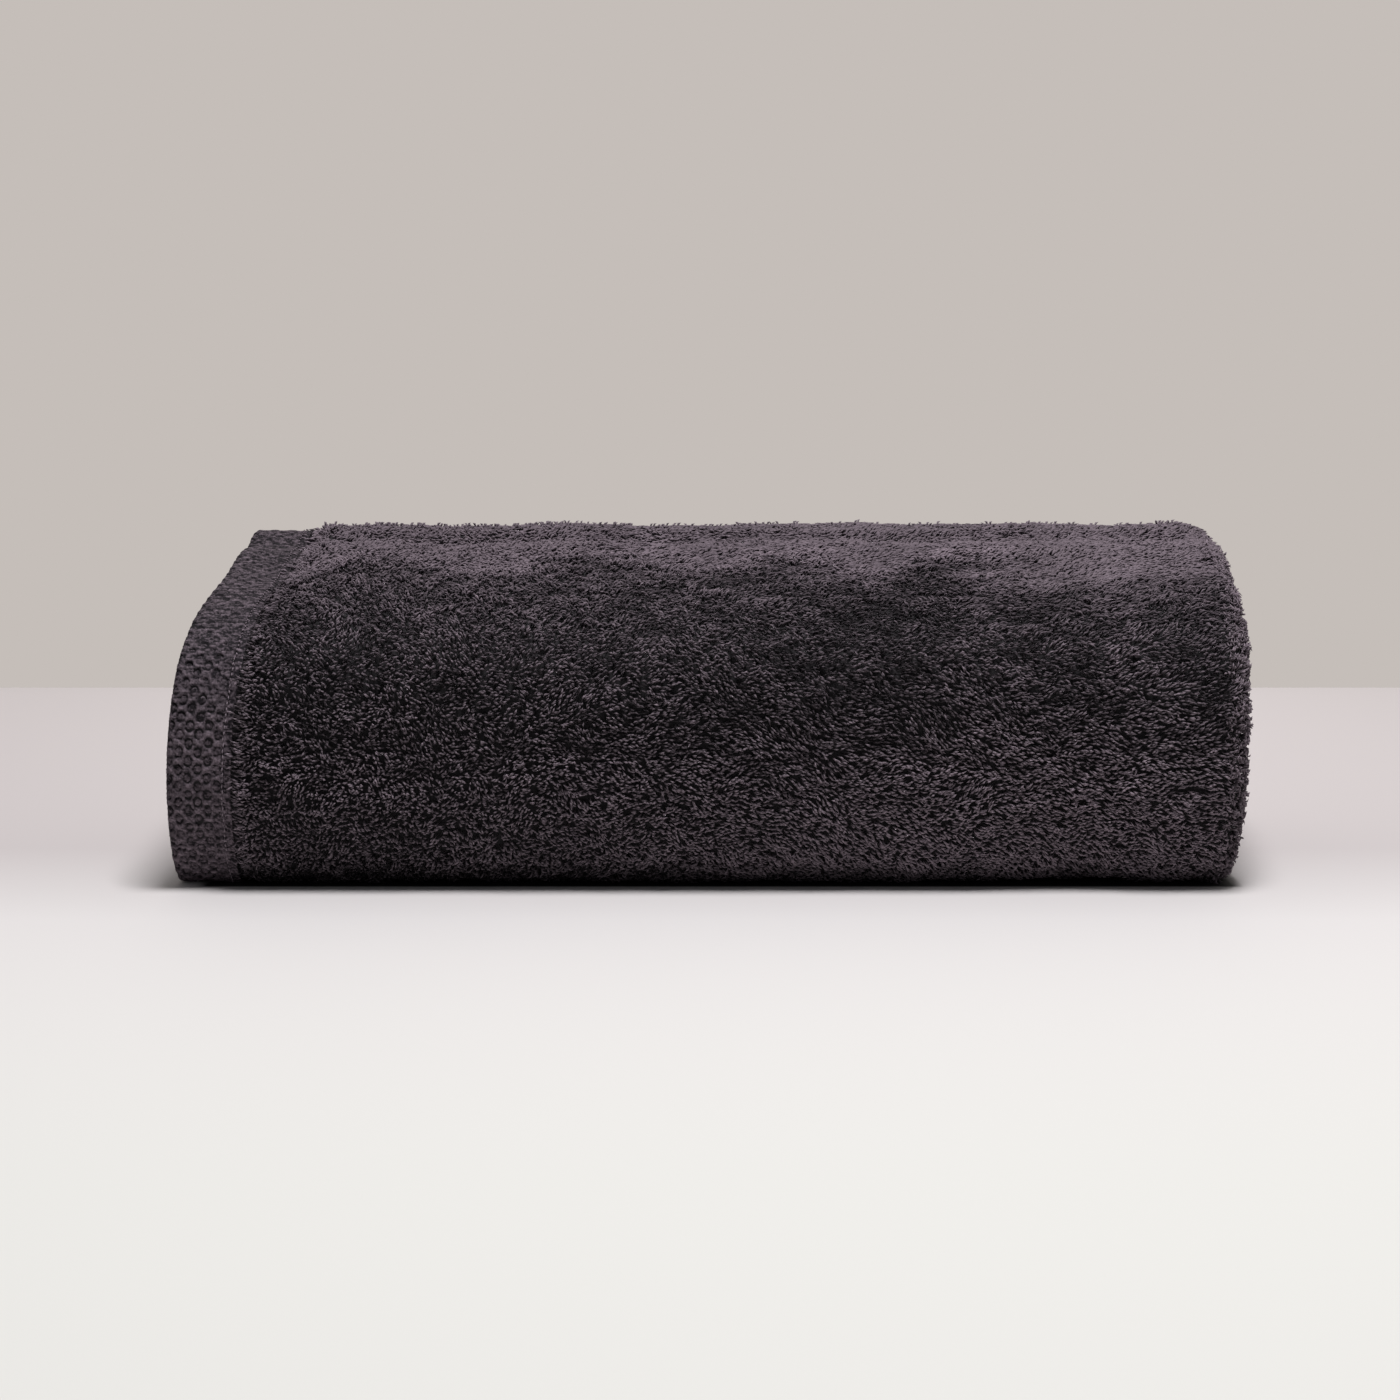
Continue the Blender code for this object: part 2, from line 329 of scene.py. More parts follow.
def section_outward(turn):
    """Direction straight out of the section at any turn, square to the line of the cloth."""
    step = 0.5 / AROUND
    run = section_at(np.asarray(turn) + step) - section_at(np.maximum(np.asarray(turn) - step, 0))
    return unit(np.stack([run[..., 1], -run[..., 0]], axis=-1))


def outside_at(turn, x, inset):
    """A point of the outer turn: the outline pushed out by the swells, and in by an inset."""
    line = section_at(turn)
    swell = swell_height(x, angle_about_core(line)) * still_outside(turn)
    skin = line + unit(line - core_points(line)) * swell[..., None]
    skin = np.stack([skin[..., 0], np.maximum(skin[..., 1], 0)], axis=-1)
    skin = skin - section_outward(turn) * np.asarray(inset)[..., None]
    return np.concatenate([x[..., None], skin], axis=-1)


def end_at(end, turn, depth):
    """X of one end of the stack at a depth through it, between this turn and the one below."""
    return end(turn) * (1 - depth) + end(turn + 1) * depth


def across_stack(turn, first, last):
    """Two lines of the stack: the outer side pushed in by one inset, and the inner side out by another."""
    outer, inner = section_at(turn), section_at(turn + 1)
    near = outer - section_outward(turn) * np.asarray(first)[..., None]
    far = inner + section_outward(turn + 1) * np.asarray(last)[..., None]
    return near, far


def in_stack(turn, first, last, share, end, inset):
    """Point between those two lines at a share of the way in, and an inset from one end of the roll."""
    near, far = across_stack(turn, first, last)
    place = near + (far - near) * share[..., None]
    x = end_at(end, turn, share) + inset
    return np.concatenate([x[..., None], place], axis=-1)


EVERY_TURN = np.linspace(0, WOUND_TURNS, 400)

# Where the frame's origin lies in the roll's own coordinates: both have the lower corner of the solid's box
BOX_CORNER = np.array([hem_end(EVERY_TURN).min() + HEM_ROUND, SECTION[:, 0].min(), 0.0])
MIDDLE = BOX_CORNER - np.array([cad_low[0], cad_low[1], 0.0])

# Corner of the crest at the folded end: where along each axis it begins, and over which reach
CORNER_X = (168 * MM, 18 * MM)
CORNER_Y = (5 * MM, 25 * MM)
CORNER_Z = (85 * MM, 22 * MM)
CORNER_DROP = 4 * MM

BAKE_MAP = "OFBake"          # map of the yarns for baking, with a cell for each


def pressed_corner(points):
    """The points with the crest's corner at the folded end rounded off, as it is pressed down there."""
    x, y, z = (points - MIDDLE).T
    share = risen(x, CORNER_X) * risen(z, CORNER_Z) * risen(y, CORNER_Y)
    return points - np.stack([0 * share, 0 * share, CORNER_DROP * share], axis=-1)


def mesh_object(name, points, faces, material, tone=None, corner_map=None):
    """One finished piece from arrays of points and of faces, all with the same number of corners."""
    corners = faces.shape[1]
    points = pressed_corner(points)
    data = bpy.data.meshes.new(name)
    data.vertices.add(len(points))
    data.vertices.foreach_set("co", (points - MIDDLE).astype(np.float32).ravel())
    data.loops.add(faces.size)
    data.loops.foreach_set("vertex_index", faces.astype(np.int32).ravel())
    data.polygons.add(len(faces))
    data.polygons.foreach_set("loop_start", np.arange(0, faces.size, corners, dtype=np.int32))
    data.polygons.foreach_set("loop_total", np.full(len(faces), corners, dtype=np.int32))
    data.update(calc_edges=True)
    if tone is not None:
        values = tone.astype(np.float32).ravel()
        data.attributes.new("tone", "FLOAT", "POINT").data.foreach_set("value", values)
    if corner_map is not None:
        places = corner_map.astype(np.float32).ravel()
        data.uv_layers.new(name=BAKE_MAP).uv.foreach_set("vector", places)
    data.shade_smooth()
    data.materials.append(material)
    piece = bpy.data.objects.new(name, data)
    bpy.context.scene.collection.objects.link(piece)
    return piece


def grid_faces(rows, columns):
    """Quads of a grid of points, row after row."""
    corner = (np.arange(rows - 1)[:, None] * columns + np.arange(columns - 1)).ravel()
    return np.stack([corner, corner + columns, corner + columns + 1, corner + 1], axis=1)


# Finishes


def linear(hex_colour):
    """Linear colour with alpha from an sRGB hex value."""
    srgb = np.array([int(hex_colour[i:i + 2], 16) for i in (1, 3, 5)]) / 255
    value = np.where(srgb <= 0.04045, srgb / 12.92, ((srgb + 0.055) / 1.055) ** 2.4)
    return (*value, 1.0)


def add_node(tree, kind, inputs=None, **settings):
    """Adds a node, sets its properties, and sets or links its inputs. A link is a (node, output) pair."""
    node = tree.nodes.new(kind)
    for name, value in settings.items():
        setattr(node, name, value)
    for name, value in (inputs or {}).items():
        if isinstance(value, tuple) and isinstance(value[0], bpy.types.Node):
            tree.links.new(value[0].outputs[value[1]], node.inputs[name])
        else:
            node.inputs[name].default_value = value
    return node


def add_ramp(tree, value, *tones):
    """Adds a colour ramp over a linked value, from pairs of a place and an sRGB hex colour."""
    ramp = add_node(tree, "ShaderNodeValToRGB", {"Fac": value})
    elements = ramp.color_ramp.elements
    while len(elements) < len(tones):
        elements.new(1.0)
    for element, (place, colour) in zip(elements, tones):
        element.position = place
        element.color = linear(colour)
    return ramp


def new_material(name):
    """A new node material, its node tree and its Principled shader."""
    material = bpy.data.materials.new(name)
    material.use_nodes = True
    tree = material.node_tree
    return material, tree, tree.nodes["Principled BSDF"]


def terry_pile():
    """Cotton terry pile: combed cotton yarn, loosely twisted and dyed in the piece, so fully matt with a soft
    fibre halo. The roots are painted darker than the tips as shade, and no two yarns take the dye quite
    alike."""
    material, tree, shader = new_material("cotton_terry_pile")
    tone = add_node(tree, "ShaderNodeAttribute", attribute_name="tone")
    ramp = add_ramp(tree, (tone, "Fac"), (0.0, "#0c0a0c"), (1.0, "#867981"))
    tree.links.new(ramp.outputs["Color"], shader.inputs["Base Color"])
    shader.inputs["Roughness"].default_value = 0.9
    shader.inputs["Specular IOR Level"].default_value = 0.2
    shader.inputs["Sheen Weight"].default_value = 0.25
    shader.inputs["Sheen Roughness"].default_value = 0.5
    shader.inputs["Sheen Tint"].default_value = linear("#b9a9b2")
    return material


def ground_weave():
    """Plain ground weave that the pile stands on, seen only between the yarns and at the ends, coloured
    nearly black as painted shade.
    """
    material, tree, shader = new_material("cotton_ground_weave_painted_shade")
    where = add_node(tree, "ShaderNodeTexCoord")
    weave = add_node(tree, "ShaderNodeTexNoise", {"Vector": (where, "Object"), "Scale": 900.0, "Detail": 2.0})
    # near-black tones: painted shade between the yarns, not the cloth's own colour
    ramp = add_ramp(tree, (weave, "Fac"), (0.0, "#0d0b0d"), (1.0, "#1d191c"))
    tree.links.new(ramp.outputs["Color"], shader.inputs["Base Color"])
    shader.inputs["Roughness"].default_value = 0.95
    return material


def woven_band():
    """Honeycomb-woven cotton of the same yarn: flat and matt. The grooves of its cells are painted darker as
    shade, the threads that cross between them painted lighter as highlight, and a fine grain of yarn
    lies over both."""
    material, tree, shader = new_material("cotton_honeycomb_weave")
    where = add_node(tree, "ShaderNodeTexCoord")
    yarn = add_node(tree, "ShaderNodeTexNoise", {"Vector": (where, "Object"), "Scale": 1500.0, "Detail": 3.0})
    tone = add_node(tree, "ShaderNodeAttribute", attribute_name="tone")
    both = add_node(tree, "ShaderNodeMath", {0: (tone, "Fac"), 1: (yarn, "Fac")}, operation="MULTIPLY")
    ramp = add_ramp(tree, (both, "Value"), (0.0, "#161216"), (0.55, "#7a6d75"))
    tree.links.new(ramp.outputs["Color"], shader.inputs["Base Color"])
    bump = add_node(tree, "ShaderNodeBump", {"Height": (yarn, "Fac"), "Strength": 0.6, "Distance": 0.0003})
    tree.links.new(bump.outputs["Normal"], shader.inputs["Normal"])
    shader.inputs["Roughness"].default_value = 0.85
    shader.inputs["Specular IOR Level"].default_value = 0.2
    return material


def pale_stage():
    """Pale matt floor with painted light and shade: lighter at the back, painted shade in a band beside the
    roll, lighter again in front of it, and a painted shadow, nearly black, where the roll stands on it."""
    material, tree, shader = new_material("pale_floor")
    where = add_node(tree, "ShaderNodeTexCoord")
    place = add_node(tree, "ShaderNodeSeparateXYZ", {"Vector": (where, "Object")})
    sideways = add_node(tree, "ShaderNodeMath", {0: (place, "X")}, operation="ABSOLUTE")

    def share(value, start, end):
        limits = {"Value": value, "From Min": start, "From Max": end}
        return add_node(tree, "ShaderNodeMapRange", limits), "Result"

    def product(first, second):
        return add_node(tree, "ShaderNodeMath", {0: first, 1: second}, operation="MULTIPLY"), "Value"

    ramp = add_ramp(tree, share((place, "Y"), FADE_BACK, FADE_FRONT), *FLOOR_TONES_PAINTED_LIGHT)
    along = share((sideways, "Value"), CONTACT_SHADOW_HALF_LENGTH, CONTACT_SHADOW_HALF_LENGTH - CONTACT_SHADOW_SOFT)
    behind_front = share((place, "Y"), CONTACT_SHADOW_FRONT, CONTACT_SHADOW_FRONT + CONTACT_SHADOW_SOFT_FRONT)
    before_back = share((place, "Y"), CONTACT_SHADOW_BACK, CONTACT_SHADOW_BACK - CONTACT_SHADOW_SOFT)
    # painted shadow: the floor is mixed to nearly black under the roll
    painted_shadow = product(product(along, behind_front), before_back)
    mixed = add_node(tree, "ShaderNodeMix", {"Factor": painted_shadow}, data_type="RGBA")
    tree.links.new(ramp.outputs["Color"], mixed.inputs["A"])
    mixed.inputs["B"].default_value = linear("#0d0c0c")
    tree.links.new(mixed.outputs["Result"], shader.inputs["Base Color"])
    shader.inputs["Roughness"].default_value = 0.7
    return material


# Cloth

HEM_COVER = 7 * MM           # how far the turned-in hems reach over the ends of the cloth
INNER_HEM_TIP = 1.8 * MM     # edge of the inner hem, in from the end of the roll
FOLD_TIP = 5.2 * MM          # tip of the outer fold of the cloth, below the pile that covers it
INNER_FOLD_TIP = 9.5 * MM    # the same of the narrow fold inside it
INNER_FOLD_BULGE = 2.5 * MM
LEFT_FOLD_TIP = 5 * MM       # the same of the narrow fold at the hem end
LEFT_FOLD_BULGE = 2.5 * MM
FOLD_BULGE = FOLD_GROOVE - PILE_HEIGHT
OUTER_LAYER_STEPS = 24
INNER_LAYER_STEPS = 12
WIDE_BEND = np.linspace(0, np.pi, 11)
NARROW_BEND = np.linspace(0, np.pi, 9)


def fold_path():
    """The towel's length as one back-and-forth path of four layers through the stack.

    Each station has a share along the roll, a share through the stack and an inset from each end. The
    outer layer starts at its hem, turns in a wide loop to the innermost layer, folds back at the hem end
    to the third, and turns in a narrow loop to the second, which ends in the other hem.
    """
    bend, narrow = WIDE_BEND[1:-1], NARROW_BEND[1:-1]
    outer_fold, inner_fold = FOLD_TIP + FOLD_BULGE, INNER_FOLD_TIP + INNER_FOLD_BULGE
    left_fold = LEFT_FOLD_TIP + LEFT_FOLD_BULGE

    def run(start, end, depth, left_inset, right_inset, steps):
        along = np.linspace(start, end, steps)
        return np.stack(np.broadcast_arrays(along, depth, left_inset, right_inset))

    def loop(side, middle, half, angles, left_inset, right_inset):
        depth = middle - half * np.cos(angles)
        return np.stack(np.broadcast_arrays(side, depth, left_inset, right_inset))

    return np.concatenate([
        run(0, 1, 0, HEM_COVER, outer_fold, OUTER_LAYER_STEPS),
        loop(1, 1 / 2, 1 / 2, bend, HEM_COVER, FOLD_TIP + FOLD_BULGE * (1 - np.sin(bend))),
        run(1, 0, 1, left_fold, outer_fold, INNER_LAYER_STEPS),
        loop(0, 5 / 6, -1 / 6, narrow, LEFT_FOLD_TIP + LEFT_FOLD_BULGE * (1 - np.sin(narrow)), outer_fold),
        run(0, 1, 2 / 3, left_fold, inner_fold, INNER_LAYER_STEPS),
        loop(1, 1 / 2, -1 / 6, narrow, left_fold, INNER_FOLD_TIP + INNER_FOLD_BULGE * (1 - np.sin(narrow))),
        run(1, 0, 1 / 3, HEM_COVER, inner_fold, INNER_LAYER_STEPS),
    ], axis=1)


def root_inset(turn):
    """How deep the outermost ground weave lies: the pile stands up on it only where it is free."""
    freed = smooth_step(section_at(turn)[..., 1] / FLOOR_REACH) * still_outside(turn)
    return FLAT_PILE_HEIGHT + (PILE_HEIGHT - FLAT_PILE_HEIGHT) * freed


def stack_point(turn, depth, x):
    """A point of the folded cloth: by layer from the outer side of the turn towards the turn below."""
    half = CLOTH_THICKNESS / 2
    near, far = across_stack(turn, root_inset(turn) + half, FLAT_PILE_HEIGHT + half)
    place = near + (far - near) * depth[..., None]
    outer = section_at(turn)
    swell = swell_height(x, angle_about_core(outer)) * still_outside(turn) * (1 - depth) * (turn < 1)
    place = place + unit(outer - core_points(outer)) * swell[..., None]
    return np.concatenate([x[..., None], place], axis=-1)


def towel_cloth(material):
    """The whole towel: rows follow the winding, columns the folded path, with the thickness on both sides."""
    turns = (np.arange(0, round(WOUND_TURNS * AROUND), CLOTH_STEP) / AROUND)[:, None]
    along, depth, left_inset, right_inset = fold_path()[:, None, :]
    left = end_at(hem_end, turns, depth) + left_inset
    right = end_at(folded_end, turns, depth) - right_inset
    x = left + (right - left) * along
    points = stack_point(turns + 0 * depth, depth + 0 * turns, x)
    rows, columns = points.shape[:2]
    cloth = mesh_object("towel_cloth", points.reshape(-1, 3), grid_faces(rows, columns), material)
    thick = cloth.modifiers.new("thickness", "SOLIDIFY")
    thick.thickness = CLOTH_THICKNESS
    thick.offset = 0.0
    return cloth


# Woven band and hems

HEM_TIP = 0.8 * MM           # edge of the hem, in from the end of the roll
HEM_HALF = 1.7 * MM          # half the thickness of the turned-in hem
HEM_DEPTH = 8 * MM           # how far the hem's inner side runs back
CELL_COLUMN = 3.15 * MM      # step between columns of honeycomb cells
CELL_ROW = 5.9 * MM          # step between cells of one column
CELL_HALF_ACROSS = 1.45 * MM
CELL_HALF_AROUND = 1.85 * MM
CELL_GROOVE = 0.8 * MM       # depth of the groove round a cell, where it is deepest
CELL_SUNK = 0.3 * MM         # depth of the pad inside it
GROOVE_PLACE = 0.88          # middle of the groove, as a share of the cell's half size
GROOVE_REACH = 0.17
PAD_EDGE = (0.8, 0.25)       # where the pad ends, in the same shares, and over which reach
THREAD_RISE = 0.15 * MM
THREAD_REACH = 0.3 * MM
THREAD_END = (0.9 * MM, 0.5 * MM)
PLAIN_STRIP = 1.8 * MM       # smooth strip between the cells and the pile
PLAIN_EDGE = (PLAIN_STRIP, 0.5 * MM)
DOWN_FRONT = (0.52, 0.14)    # turn from where the cells have both rims, and over which reach
GRAIN_RISE = 0.14 * MM
BAND_LAST_TURN = 0.985
BAND_TUCK = 1.2 * MM         # how far the band reaches under the pile
BAND_LOWEST = 0.1 * MM       # neither band nor hems reach below this height
BAND_ROWS = 1060
BAND_COLUMNS = 60
HEM_BACK_STEPS = 5
HEM_ROWS = 100               # rows of a hem in one turn
HEM_LAST_TURN = WOUND_TURNS - 0.05
THINNEST_STACK = 0.1 * MM


def band_sink(turn):
    """How far the band lies below the tips of the pile; it meets the floor without a step."""
    return BAND_STEP * np.clip(section_at(turn)[..., 1] / BAND_SINK_HEIGHT, 0, 1)


def hem_profile():
    """Outline of a hem from its face, round its edge, to the back of its inner side.

    Columns: distance in from the edge, depth below the face, the outward direction in the same two
    directions, and the distance walked from where the face starts.
    """
    face = np.linspace(BAND_WIDTH + BAND_TUCK, HEM_HALF, BAND_COLUMNS)
    bend = WIDE_BEND[1:-1]
    back = np.linspace(HEM_HALF, HEM_DEPTH, HEM_BACK_STEPS)
    inset = np.concatenate([face, HEM_HALF * (1 - np.sin(bend)), back])
    depth = np.concatenate([0 * face, HEM_HALF * (1 - np.cos(bend)), 0 * back + 2 * HEM_HALF])
    out_x = np.concatenate([0 * face, -np.sin(bend), 0 * back])
    out_depth = np.concatenate([0 * face - 1, -np.cos(bend), 0 * back + 1])
    walked = walked_length(np.stack([inset, depth], axis=1))
    return np.stack([inset, depth, out_x, out_depth, walked], axis=1)


def honeycomb_relief(walked, turn):
    """Height and tone of the woven honeycomb. Each cell is an oval pad, a little sunk, in a groove that is
    deepest at its upper rim on the top of the roll, and at both rims further down; every second column is
    half a step lower. Between two cells of a column a raised thread crosses over to the cells beside them.
    The tone paints shade into the grooves and pads and on the top of the roll, and a highlight on the
    threads."""
    place = turn * TURN_LENGTH
    across = (walked - PLAIN_STRIP) / CELL_COLUMN - 0.5
    number = np.round(across)
    from_middle = (across - number) * CELL_COLUMN
    shifted = place / CELL_ROW + 0.5 * (number % 2)
    from_row = (shifted - np.round(shifted)) * CELL_ROW
    uneven = 0.3 * MM * soft_noise(walked, place, 1.6 * MM, 31)
    size = 1 + 0.12 * soft_noise(walked, place, 4 * MM, 32)
    oval = np.hypot(from_middle / CELL_HALF_ACROSS, (from_row + uneven) / CELL_HALF_AROUND) * size
    towards = np.clip(from_row / CELL_HALF_AROUND / np.maximum(oval, 0.2), -1, 1)
    down_front = risen(turn, DOWN_FRONT)
    rims = np.maximum(-towards, 0) + down_front * (np.maximum(towards, 0) + 0.35 * (1 - np.abs(towards)))
    groove = bell(oval - GROOVE_PLACE, GROOVE_REACH) * rims
    pad = (1 - risen(oval, PAD_EDGE)) * (0.4 + 0.6 * down_front)
    beside = 1 - risen(np.abs(from_middle), THREAD_END)
    thread = bell(np.abs(from_row) - CELL_ROW / 2, THREAD_REACH) * beside
    woven = risen(walked, PLAIN_EDGE)
    strength = woven * np.where(number < 0.5, 0.65, 1.0) * (1 + 0.4 * soft_noise(walked, place, 3 * MM, 35))
    grain = 0.6 * (soft_noise(0.4 * walked, place, 0.55 * MM, 33) + soft_noise(walked, place, 0.4 * MM, 36))
    height = strength * (THREAD_RISE * thread - CELL_GROOVE * groove - CELL_SUNK * pad) + GRAIN_RISE * grain
    # painted shade in the grooves, in the pads and on the top of the roll; painted highlight on the threads
    tone = (0.18 + 0.24 * down_front + (0.9 - 0.35 * woven) * grain
            + strength * (0.3 * thread - 0.4 * groove - 0.08 * pad))
    return height, tone - 0.1 * (1 - woven)


def honeycomb_band(material):
    """The flat woven band of the outer turn with its turned-in edge, its cells raised in the mesh."""
    inset, depth, out_x, out_depth, walked = (part[None, :] for part in hem_profile().T)
    turn = np.linspace(0, BAND_LAST_TURN, BAND_ROWS)[:, None]
    walked = walked - BAND_TUCK + 0 * turn
    relief, tone = honeycomb_relief(walked, turn)
    outside = 1 - smooth_step((depth - HEM_HALF) / HEM_HALF)
    relief = relief * outside
    x = hem_end(turn) + HEM_TIP + inset + out_x * relief
    points = outside_at(turn + 0 * inset, x, band_sink(turn) + depth + out_depth * relief)
    points[..., 2] = np.maximum(points[..., 2], BAND_LOWEST)
    rows, columns = points.shape[:2]
    faces = grid_faces(rows, columns)[:, ::-1]
    return mesh_object("honeycomb_band", points.reshape(-1, 3), faces, material, tone)


def hem_edge(name, first, last, share, tip, material):
    """Turned-in edge of one layer over a range of turns, seen between the layers at the hem end."""
    turn = np.linspace(first, last, round((last - first) * HEM_ROWS))[:, None]
    bend = NARROW_BEND[None, :]
    inset = np.concatenate([[[HEM_DEPTH]], HEM_HALF * (1 - np.sin(bend)), [[HEM_DEPTH]]], axis=1) + 0 * turn
    offset = np.concatenate([[[-HEM_HALF]], -HEM_HALF * np.cos(bend), [[HEM_HALF]]], axis=1) + 0 * turn
    near, far = across_stack(turn, 0, 0)
    thick = np.maximum(np.linalg.norm(far - near, axis=-1), THINNEST_STACK)
    middle = FLAT_PILE_HEIGHT + HEM_HALF + (thick - 2 * HEM_HALF) * share
    depth = np.clip((middle + offset) / thick, 0, 1)
    points = in_stack(turn + 0 * offset, 0, 0, depth, hem_end, tip + inset)
    points[..., 2] = np.maximum(points[..., 2], BAND_LOWEST)
    rows, columns = points.shape[:2]
    tone = 0.6 + 0.2 * soft_noise(inset + offset, turn * TURN_LENGTH, 0.9 * MM, 34)
    return mesh_object(name, points.reshape(-1, 3), grid_faces(rows, columns), material, tone)


# Pile

YARN_RADIUS = 0.36 * MM
STATIONS = np.array([0.0, 0.72, 1.0])      # root, ring, tip
SIDES = 3
YARN_POINTS = 2 + SIDES
YARN_BEND = 1.4              # how late along its length a yarn bends over
YARN_LOWEST = 0.05 * MM      # no yarn reaches below this height
PIECE_LIMIT = 30000          # yarns in one mesh
MAP_MARGIN = 0.08            # free rim of a yarn's cell on the map of its mesh
# painted shade at the roots and painted light at the tips of every yarn
ROOT_SHADE = 1.1                   # how much darker the root is than the tip
END_ROOT_SHADE = 0.8               # the same on the folds at the two ends
ROOT_SHADE_MIDDLE = 0.6            # place along a yarn where its own tone is


def yarn_faces():
    """Triangles of one yarn and their place on its own map: a point, a ring of three, a point."""
    faces, places = [], []
    root, tip, widest = 0, YARN_POINTS - 1, STATIONS[1]
    for side in range(SIDES):
        here, beside = 1 + side, 1 + (side + 1) % SIDES
        left, right, middle = side / SIDES, (side + 1) / SIDES, (side + 0.5) / SIDES
        faces += [(root, beside, here), (here, beside, tip)]
        places += [((middle, 0), (right, widest), (left, widest))]
        places += [((left, widest), (right, widest), (middle, 1))]
    return np.array(faces), np.array(places)


def yarn_piece(name, roots, normals, flows, rise, reach, curl, radius, tone, root_shade, twist, material):
    """Many yarns as one mesh. Each leaves its root along the surface's normal and bends over along its flow:
    height = rise * sin(t * 90 deg), distance along the flow = reach * t^1.4, with a sideways curl of
    curl * sin(t * 180 deg). Where it is widest lies a ring of three points, and a point closes each end.
    Its tone falls by the root shade from the tip to the root: painted shade towards the root, painted light
    towards the tip."""
    count = len(roots)
    side = unit(np.cross(normals, flows))
    upwards = rise[:, None] * np.sin(STATIONS * np.pi / 2)
    forwards = reach[:, None] * STATIONS ** YARN_BEND
    sideways = curl[:, None] * np.sin(STATIONS * np.pi)
    line = (roots[:, None] + normals[:, None] * upwards[..., None]
            + flows[:, None] * forwards[..., None] + side[:, None] * sideways[..., None])
    slope = unit(line[:, 2] - line[:, 0])
    top = unit(np.cross(slope, side))
    angle = (twist[:, None] + np.arange(SIDES) * 2 * np.pi / SIDES)[..., None]
    spread = side[:, None] * np.cos(angle) + top[:, None] * np.sin(angle)
    rings = line[:, 1:2] + spread * radius[:, None, None]
    points = np.concatenate([line[:, :1], rings, line[:, 2:]], axis=1)
    points[..., 2] = np.maximum(points[..., 2], YARN_LOWEST)
    corners, places = yarn_faces()
    faces = corners[None] + np.arange(count)[:, None, None] * YARN_POINTS
    cells = int(np.ceil(np.sqrt(count)))
    cell = np.stack([np.arange(count) % cells, np.arange(count) // cells], axis=1)
    inside = MAP_MARGIN + (1 - 2 * MAP_MARGIN) * places[None]
    corner_map = (cell[:, None, None] + inside) / cells
    along = np.array([STATIONS[0], *[STATIONS[1]] * SIDES, STATIONS[2]])
    tones = tone[:, None] + (along - ROOT_SHADE_MIDDLE) * root_shade[:, None]
    return mesh_object(name, points.reshape(-1, 3), faces.reshape(-1, 3), material, tones, corner_map)


def plant(name, roots, normals, flows, rise, reach, curl, radius, tone, root_shade, rng, material):
    """Yarns shared out over as many meshes as they need."""
    twist = rng.uniform(0, 2 * np.pi, len(roots))
    shape = (roots, normals, flows, rise, reach, curl, radius, tone, root_shade, twist)
    pieces = []
    for number, first in enumerate(range(0, len(roots), PIECE_LIMIT)):
        share = [part[first:first + PIECE_LIMIT] for part in shape]
        pieces.append(yarn_piece(f"{name}_{number + 1}", *share, material))
    return pieces


def surface_frame(surface, a, b, step_a, step_b):
    """Point, outward normal and both directions of a surface at pairs of its two numbers."""
    here = surface(a, b)
    along_a = unit(surface(a + step_a, b) - surface(np.maximum(a - step_a, 0), b))
    along_b = unit(surface(a, b + step_b) - surface(a, b - step_b))
    normal = unit(np.cross(along_a, along_b))
    return here, normal, along_a, unit(np.cross(normal, along_a))


def scattered(rng, rows, columns, jitter):
    """Pairs from 0 to 1: one in each cell of a grid, moved at random inside it."""
    a, b = np.meshgrid((np.arange(rows) + 0.5) / rows, (np.arange(columns) + 0.5) / columns, indexing="ij")
    a = a + rng.uniform(-jitter, jitter, a.shape) / rows
    b = b + rng.uniform(-jitter, jitter, b.shape) / columns
    return a.ravel(), b.ravel()


# Pile of the outer turn

OUTER_YARNS = (400, 290)     # round the roll and along it
OUTER_JITTER = 0.55
PILE_TURNS = (0.001, 0.99)   # where the outer pile starts and ends
PILE_LOWEST = 0.2 * MM       # no pile is planted on the underside below this height
TURN_STEP = 0.4 / AROUND     # reach on either side for the slope of a surface

# Zones of the outer pile: where each begins or ends, and over which reach, in turns from the free edge
TOP_BEGINS = (0.18, 0.06)
TOP_ENDS = (0.375, 0.07)
TOP_ENDS_FOLDED_END = (0.42, 0.09)
TOP_ENDS_HEM_END = (0.43, 0.04)
STEEP_BEGINS = (0.4, 0.07)
STEEP_ENDS = (0.6, 0.1)
FRONT_TURN = 0.5

# The same along the roll
RIGHT_BEGINS = (-110 * MM, 160 * MM)
FOLDED_END_BEGINS = (70 * MM, 60 * MM)
HEM_END_BEGINS = (-120 * MM, -20 * MM)
BESIDE_BAND = 4 * MM         # reach of the pile that is combed away from the band
CREST_STEP = 6 * MM          # pile beside the band that is pressed flat on the crest
SHADED_HEIGHT = 7.5 * MM     # reach of the shade by the floor
# painted shade: the foot of the roll is darkened against the floor's bounced light
FOOT_SHADE_HEIGHT = 20 * MM         # reach of the darker foot of the roll

